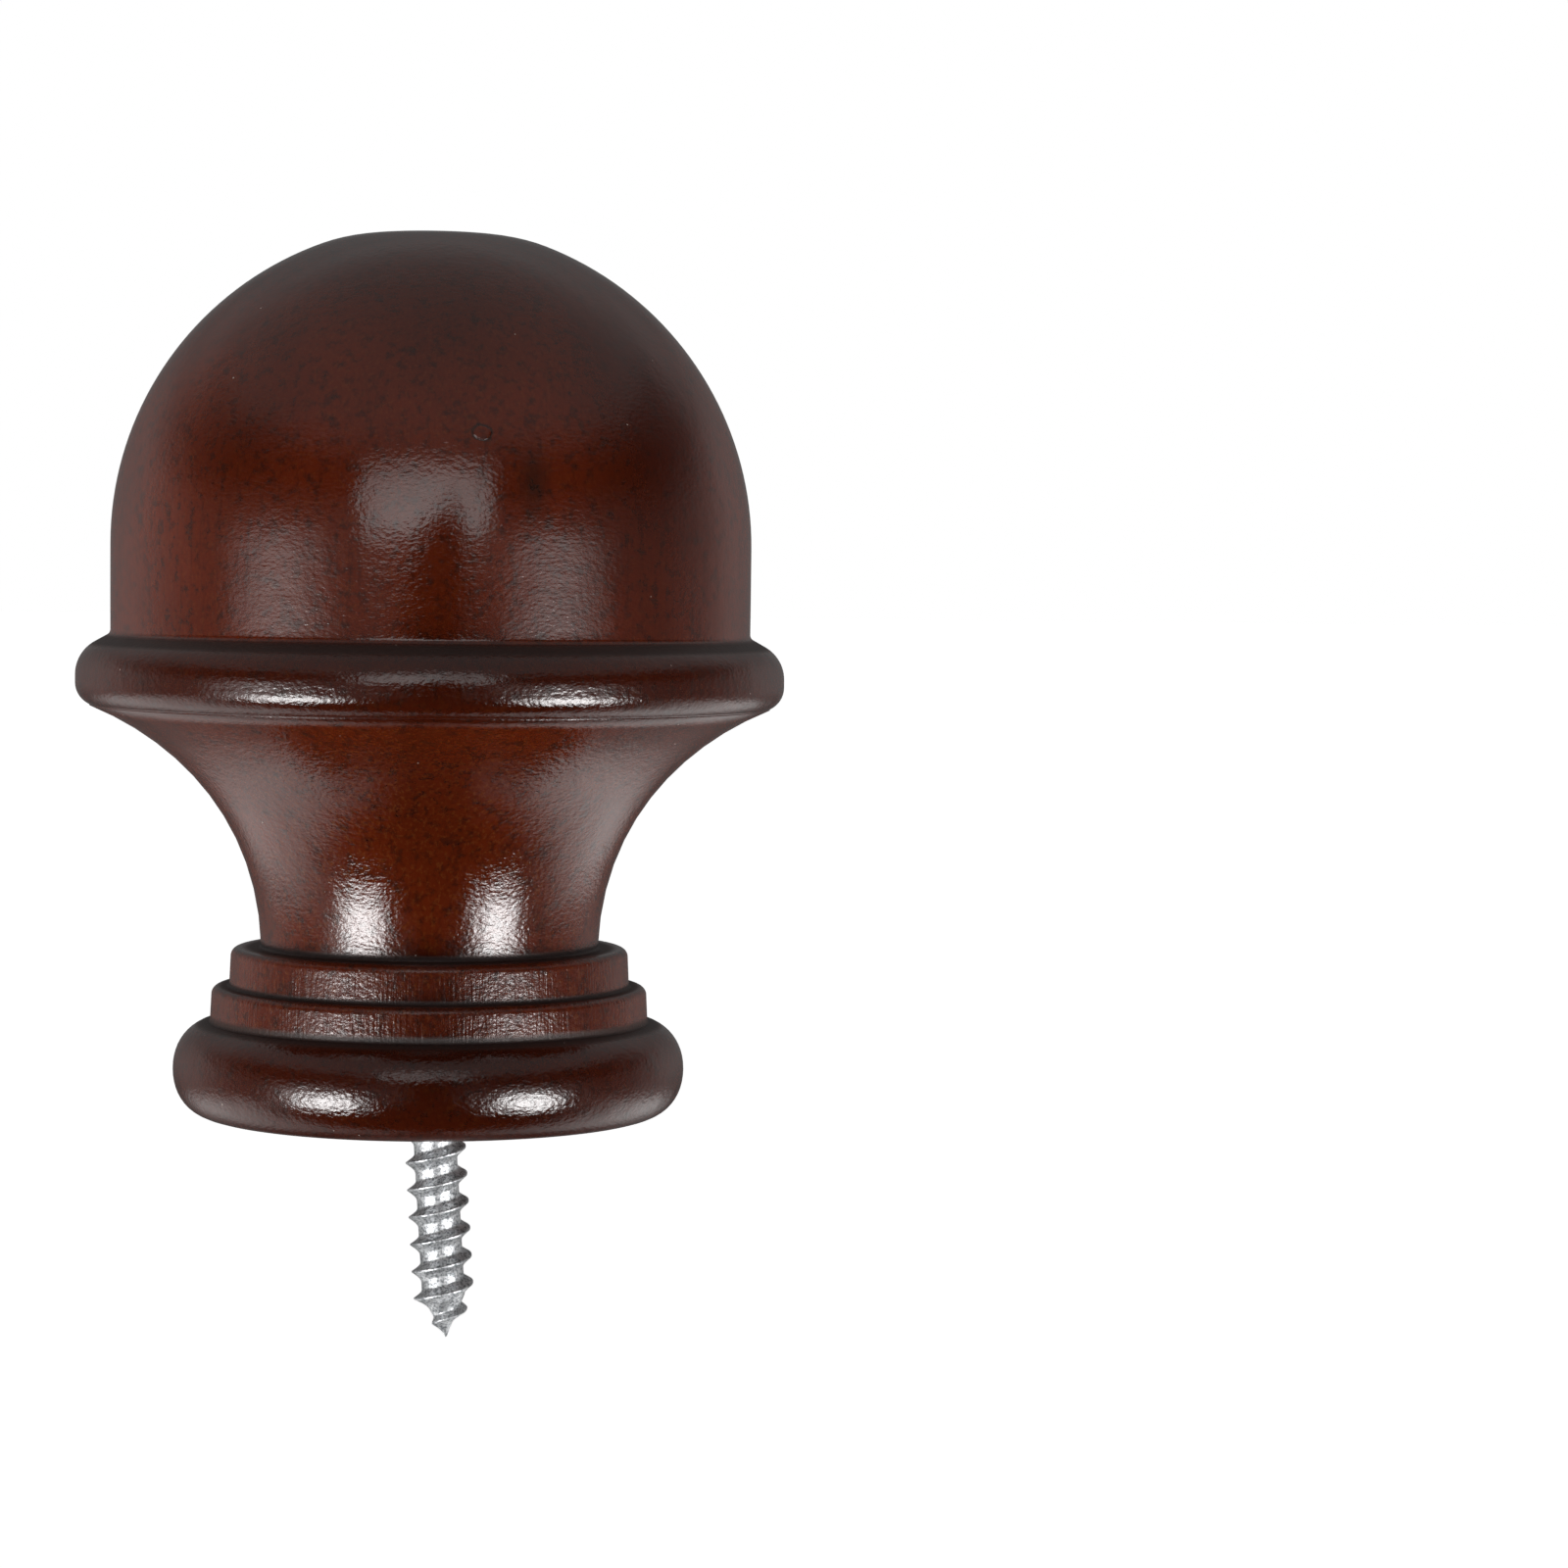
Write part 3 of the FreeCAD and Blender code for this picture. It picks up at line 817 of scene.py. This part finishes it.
class FINIAL_OT_set_stage(bpy.types.Operator):
    """Sets the floor, the camera, the lamps and the surroundings"""

    bl_idname = "finial.set_stage"
    bl_label = "Set Stage"

    def execute(self, context):
        studio = context.scene.finial_studio
        self.floor(studio)
        self.shade(studio)
        self.camera(context.scene, studio)
        for side in (-1, 1):
            gloss = self.lamp(
                studio, side * studio.lamp_azimuth, studio.lamp_drop, studio.lamp_radiance)
            gloss.visible_diffuse = False
            radiance = studio.wash_radiance * (1.0 - side * studio.wash_bias)
            wash = self.lamp(studio, side * studio.wash_azimuth, studio.wash_drop, radiance)
            wash.visible_glossy = False
        self.card(studio)
        self.surroundings(context.scene, studio)
        context.scene.view_settings.view_transform = "Standard"
        return {"FINISHED"}

    def floor(self, studio):
        """A plain white floor that keeps the finial's shadow. Gloss and lamps see past it."""
        reach = 4.0
        mesh = bmesh.new()
        bmesh.ops.create_grid(mesh, x_segments=1, y_segments=1, size=reach)
        bmesh.ops.translate(mesh, verts=mesh.verts, vec=(0, 0, -studio.floor_drop))
        material = bpy.data.materials.new("white_floor")
        shader = Shader(material)
        is_camera = shader.add("ShaderNodeLightPath")
        matt = shader.add(
            "ShaderNodeBsdfDiffuse", inputs={"Color": rgba([studio.floor_grey] * 3)})
        lift = shader.add(
            "ShaderNodeEmission", inputs={"Color": is_camera * studio.floor_lift})
        both = shader.add("ShaderNodeAddShader", inputs={0: matt, 1: lift})
        shader.add("ShaderNodeOutputMaterial", inputs={"Surface": both})
        floor = placed(mesh, "floor", material)
        floor.visible_glossy = False
        floor.visible_diffuse = False
        floor.visible_shadow = False

    def shade(self, studio):
        """The dim patch that a finial leaves on the table under it. Only gloss shows it."""
        segments = 96
        above_floor = 0.1 * MM
        mesh = bmesh.new()
        bmesh.ops.create_circle(
            mesh, cap_ends=True, segments=segments, radius=studio.shade_radius)
        bmesh.ops.translate(mesh, verts=mesh.verts, vec=(0, 0, above_floor - studio.floor_drop))
        material = bpy.data.materials.new("dim_table")
        shader = Shader(material)
        x, y = shader.split(shader.place())[:2]
        # Longer towards the front, and clear round the screw's point
        away = (x * x + y * y * 0.6) ** 0.5
        dim = away.rise(6.0 * MM, 16.0 * MM) * away.fall(0.0, studio.shade_radius)
        clear = shader.add("ShaderNodeBsdfTransparent")
        black = shader.add("ShaderNodeBsdfDiffuse", inputs={"Color": (0, 0, 0, 1)})
        both = shader.add(
            "ShaderNodeMixShader", inputs={0: dim * studio.shade_depth, 1: clear, 2: black})
        shader.add("ShaderNodeOutputMaterial", inputs={"Surface": both})
        shade = placed(mesh, "shade", material)
        shade.visible_camera = False
        shade.visible_diffuse = False
        shade.visible_shadow = False

    def camera(self, scene, studio):
        """The camera, in front of the finial and turned a little to the right of it."""
        data = bpy.data.cameras.new("camera")
        data.sensor_width = 36
        data.lens = studio.lens
        camera = bpy.data.objects.new("camera", data)
        pan = Matrix.Rotation(-studio.pan, 4, "Z")
        tilt = Matrix.Rotation(QUARTER_TURN - studio.tilt, 4, "X")
        roll = Matrix.Rotation(studio.roll, 4, "Z")
        place = Matrix.Translation((0, -studio.distance, studio.height))
        camera.matrix_world = place @ pan @ tilt @ roll
        scene.collection.objects.link(camera)
        scene.camera = camera

    def lamp(self, studio, azimuth, drop, radiance):
        """A soft-edged lamp at one side, below the view."""
        reach = studio.lamp_distance
        flat = reach * math.cos(drop)
        aim = Vector((0, 0, studio.lamp_aim))
        away = Vector((
            flat * math.sin(azimuth),
            -flat * math.cos(azimuth),
            -reach * math.sin(drop),
        ))
        data = bpy.data.lights.new("side_lamp", "AREA")
        data.shape = "RECTANGLE"
        data.size = 2 * reach * math.tan(studio.lamp_width / 2)
        data.size_y = 2 * reach * math.tan(studio.lamp_height / 2)
        across, along = self.parts_of_light(data, radiance)
        glow = across.window(0.25, 0.75, 0.2) * along.rise(0.05, 0.33) * along.fall(0.74, 0.88)
        self.pattern_on_light(glow)
        lamp = bpy.data.objects.new("side_lamp", data)
        lamp.location = aim + away
        lamp.rotation_euler = (-away).to_track_quat("-Z", "Y").to_euler()
        lamp.visible_camera = False
        bpy.context.scene.collection.objects.link(lamp)
        return lamp

    def card(self, studio):
        """A small white card with a notch, close in front of the ball."""
        data = bpy.data.lights.new("card", "AREA")
        data.shape = "RECTANGLE"
        data.size = studio.card_width
        data.size_y = studio.card_height
        data.spread = studio.card_spread
        across, along = self.parts_of_light(data, studio.card_radiance)
        sides = (across + along * 0.11).rise(0.03, 0.13) * (across - along * 0.08).fall(0.75, 0.85)
        ends = along.rise(0.0, 0.10) * along.fall(0.86, 1.0)
        notch = (abs(across - along * 0.207 - 0.521) + along * 0.31).rise(0.13, 0.20)
        self.pattern_on_light(sides * ends * notch)
        card = bpy.data.objects.new("card", data)
        card.location = (studio.card_shift, -studio.card_distance, studio.card_middle)
        card.rotation_euler = (QUARTER_TURN, 0, 0)
        card.visible_camera = False
        bpy.context.scene.collection.objects.link(card)

    def parts_of_light(self, data, radiance):
        """Sets an area light's power, and gives the shares of its width and its height."""
        data.energy = radiance * math.pi * data.size * data.size_y
        shader = Shader(data)
        return shader.split(shader.add("ShaderNodeNewGeometry", output="Parametric"))[:2]

    def pattern_on_light(self, pattern):
        """Gives an area light a pattern over its face."""
        emission = pattern.shader.add("ShaderNodeEmission", inputs={"Color": pattern})
        pattern.shader.add("ShaderNodeOutputLight", inputs={"Surface": emission})

    def surroundings(self, scene, studio):
        """White to the camera, and a light tent with a dark front in gloss."""
        world = bpy.data.worlds.new("light_tent")
        scene.world = world
        shader = Shader(world)
        x, y, up = shader.split(shader.add("ShaderNodeTexCoord"))
        # Side is in degrees from the front, less than 0 on the left. Up is from -1 to 1
        side = x.step("ARCTAN2", y * -1.0) * math.degrees(1)
        aside = abs(side)

        # The side walls come further to the front higher up, and are dimmer at the right
        walls = (aside - up.rise(0.10, 0.42) * 50.0).rise(50.0, 130.0) * aside.fall(115.0, 165.0)
        back = aside.rise(70.0, 130.0) * (0.07 + up.rise(-0.25, 0.0) * 0.08)
        walls = walls * studio.wall_level + back + up.rise(0.35, 0.55) * 0.08
        right_gap = side.window(74.0, 125.0, 12.0) * up.rise(-0.20, 0.0)
        walls = walls * (1.0 - right_gap * 0.30)
        roof = up.rise(0.44, 0.66) * studio.roof_level

        # The table shines beside the finial, most at the rear sides, and not at the back
        table = aside.rise(100.0, 125.0) * 0.35 - aside.rise(130.0, 165.0) * 1.35
        table = (table + studio.table_level) * up.fall(-0.46, -0.20)
        table = table * (aside - side * 0.03).rise(70.0, 106.0)
        table = table * (1.0 - side.fall(-125.0, -95.0) * 0.3)

        # The lamps' glow lies low at both sides of the front, and is wider at the right
        glow_middle = math.degrees(studio.glow_azimuth)
        glow_reach = side.rise(-5.0, 5.0) * 6.0 + math.degrees(studio.glow_reach)
        glow = abs(aside + side * 0.12 - glow_middle).fall(0.0, glow_reach)
        glow = glow * up.rise(-0.60, -0.25) * up.fall(-0.07, 0.14) * studio.glow_level

        # A faint veil over the front, with a dark strip in its middle
        veil = side.rise(8.0, 16.0) * studio.veil_right + side.fall(-16.0, -8.0) * studio.veil_left
        veil = veil * up.window(-0.30, 0.26, 0.10) * aside.fall(60.0, 95.0)

        tent = walls.maximum(roof) + table + glow + veil
        is_camera = shader.add("ShaderNodeLightPath")
        tent = tent * is_camera.twin("Is Glossy Ray").between(studio.fill, 1.0)
        shown = is_camera + (1.0 - is_camera) * tent
        background = shader.add("ShaderNodeBackground", inputs={"Color": shown})
        shader.add("ShaderNodeOutputWorld", inputs={"Surface": background})
        world.cycles.sampling_method = "NONE"


class FINIAL_PT_panel(bpy.types.Panel):
    """Lists the finial's operators and sizes"""

    bl_idname = "FINIAL_PT_panel"
    bl_label = "Finial"
    bl_space_type = "VIEW_3D"
    bl_region_type = "UI"
    bl_category = "Finial"

    def draw(self, context):
        layout = self.layout
        for operator in OPERATORS:
            layout.operator(operator.bl_idname)
        for group, attribute in GROUPS.items():
            box = layout.box()
            box.label(text=group.__doc__)
            for name in group.__annotations__:
                box.prop(getattr(context.scene, attribute), name)


GROUPS = {
    FinialTurning: "finial_turning",
    FinialScrew: "finial_screw",
    FinialFinish: "finial_finish",
    FinialStudio: "finial_studio",
}
OPERATORS = (FINIAL_OT_turn_body, FINIAL_OT_make_screw, FINIAL_OT_set_stage)


def register():
    """Registers the classes and hangs the sizes on the scene."""
    for cls in (*GROUPS, *OPERATORS, FINIAL_PT_panel):
        bpy.utils.register_class(cls)
    for group, attribute in GROUPS.items():
        setattr(bpy.types.Scene, attribute, PointerProperty(type=group))


def unregister():
    """Takes the sizes and the classes away again."""
    for attribute in GROUPS.values():
        delattr(bpy.types.Scene, attribute)
    for cls in reversed((*GROUPS, *OPERATORS, FINIAL_PT_panel)):
        bpy.utils.unregister_class(cls)


def main():
    """Registers the add-on and runs its operators in order."""
    register()
    bpy.ops.finial.turn_body()
    bpy.ops.finial.make_screw()
    bpy.ops.finial.set_stage()


if __name__ == "__main__":
    main()
